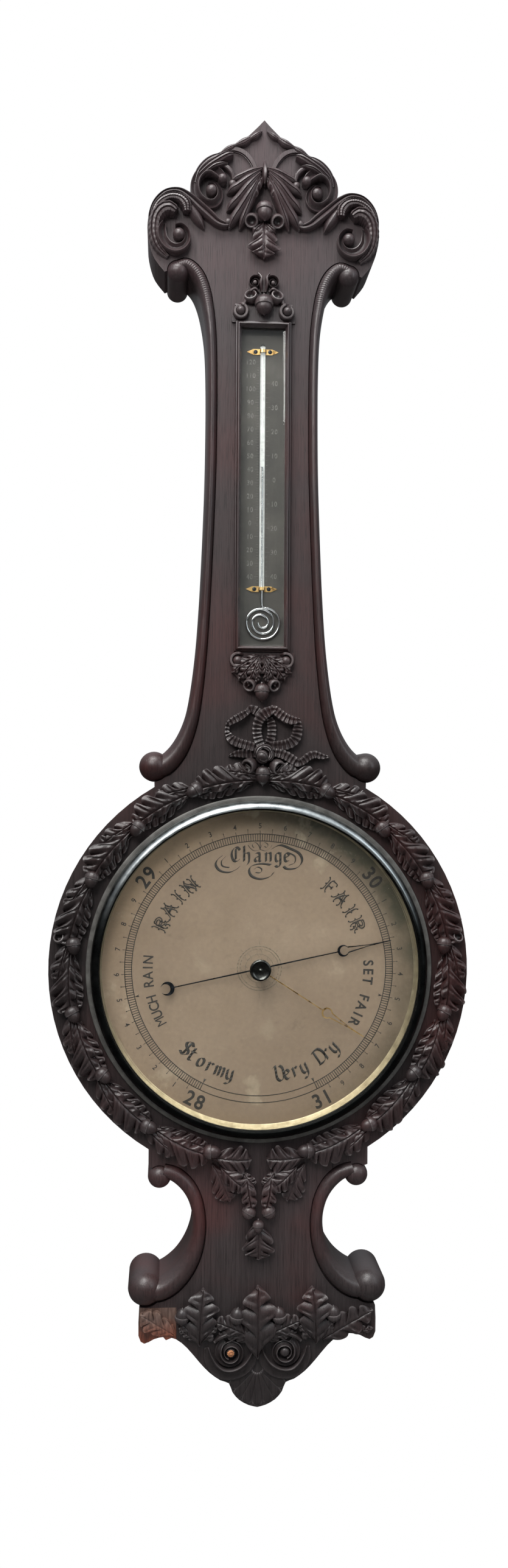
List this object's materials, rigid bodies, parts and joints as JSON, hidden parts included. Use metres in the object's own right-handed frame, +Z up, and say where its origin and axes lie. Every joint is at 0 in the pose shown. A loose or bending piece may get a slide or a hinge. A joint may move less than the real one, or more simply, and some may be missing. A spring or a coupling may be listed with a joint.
{
  "type": "aneroid barometer",
  "caption": "Carved oak banjo wall barometer with an aneroid dial, a turnable set hand and a spiral-bulb thermometer in the neck.",
  "frame": {"origin": "where the dial's axis meets the wall, in the plane of the back face", "axes": "+Z up along the long axis, +Y into the wall so the dial faces -Y, +X to the right of a person who reads the dial"},
  "size_m": [0.3978, 0.0731, 1.2205],
  "materials": {
    "oak": "old dark stained oak, waxed",
    "carved_oak": "carved dark stained oak, worn on the high points",
    "new_oak": "lighter replacement oak",
    "bronze": "oxidised nearly black bronze",
    "gilt_brass": "pale gilt, slightly tarnished",
    "silvered_brass": "silvered and engraved, tarnished",
    "scale_plate": "oxidised dark plate with engraved lines",
    "brass": "lacquered brass",
    "blued_steel": "blued",
    "steel": "satin",
    "iron": "black painted",
    "nickel_silver": "satin",
    "mercury": "liquid metal",
    "glass": "clear"
  },
  "bodies": {
    "case": {"case_body": "oak", "back_cover": "oak", "back_cover_screws": "brass", "hanging_plate": "brass", "hanging_plate_screws": "brass", "roll_upper_left": "oak", "roll_upper_right": "oak", "roll_lower_left": "oak", "roll_lower_right": "oak", "crest_scrolls": "carved_oak", "crest_leaves": "carved_oak", "crest_acorn": "carved_oak", "thermometer_crown_carving": "carved_oak", "thermometer_foot_carving": "carved_oak", "ribbon_bow": "carved_oak", "garland_knot": "carved_oak", "garland_left_leaves": "carved_oak", "garland_right_leaves": "carved_oak", "garland_left_acorns": "carved_oak", "garland_right_acorns": "carved_oak", "garland_pendant": "carved_oak", "apron_leaves": "carved_oak", "apron_acorns": "carved_oak", "apron_volutes": "carved_oak", "apron_shell": "carved_oak", "corner_patch": "new_oak", "volute_button": "new_oak", "thermometer_frame": "oak", "thermometer_glass": "glass", "thermometer_scale_plate": "scale_plate", "thermometer_tube": "glass", "thermometer_mercury": "mercury", "tube_clips": "brass", "clip_screws": "blued_steel", "bezel": "bronze", "dial_glass": "glass", "glass_retaining_ring": "gilt_brass", "dial_plate": "silvered_brass", "base_plate": "brass", "dial_pillars": "brass", "pillar_nuts": "steel", "capsule": "nickel_silver", "spring_bridge": "iron", "bridge_screws": "steel", "mainspring": "blued_steel", "shaft_bracket": "brass", "arbor_posts": "brass", "arbor_lower_plate": "brass", "arbor_upper_plate": "brass", "hairspring": "blued_steel", "chain": "steel"},
    "hand": {"hand_arbor": "steel", "indicating_hand": "blued_steel"},
    "set_hand": {"set_hand": "brass", "set_knob": "bronze", "set_knob_nut": "brass"},
    "rocking_shaft": {"rocking_shaft": "steel"},
    "main_lever": {"main_lever": "steel"},
    "connecting_link": {"connecting_link": "steel"},
    "adjusting_screw": {"adjusting_screw": "steel"}
  },
  "joints": [
    {"name": "hand_turn", "type": "hinge", "parent": "case", "child": "hand", "pos_m": [0, -0.05, 0], "axis": [0, 1, 0], "range_deg": [-232, 76], "stiffness_Nm_per_rad": 0.02, "deforming": ["hairspring", "chain"]},
    {"name": "set_hand_turn", "type": "hinge", "parent": "case", "child": "set_hand", "pos_m": [0, -0.06, 0], "axis": [0, 1, 0], "continuous": true},
    {"name": "rocking_shaft_turn", "type": "hinge", "parent": "case", "child": "rocking_shaft", "pos_m": [0.054, -0.02, 0], "axis": [0, 0, 1], "range_deg": [-3.6, 10.7]},
    {"name": "main_lever_turn", "type": "hinge", "parent": "case", "child": "main_lever", "pos_m": [-0.044, -0.032, 0], "axis": [0, 0, 1], "range_deg": [-0.46, 0.16], "deforming": ["mainspring", "capsule"]},
    {"name": "connecting_link_slide", "type": "slide", "parent": "case", "child": "connecting_link", "axis": [0, 1, 0], "range_m": [-0.00075, 0.00025]},
    {"name": "adjusting_screw_turn", "type": "hinge", "parent": "case", "child": "adjusting_screw", "pos_m": [-0.044, -0.01, 0], "axis": [0, 1, 0], "range_deg": [-360, 360]}
  ],
  "couplings": [
    {"joint": "rocking_shaft_turn", "follows": "hand_turn", "ratio": -0.045455},
    {"joint": "main_lever_turn", "follows": "hand_turn", "ratio": 0.0019342},
    {"joint": "connecting_link_slide", "follows": "hand_turn", "m_per_rad": 0.0001818}
  ]
}
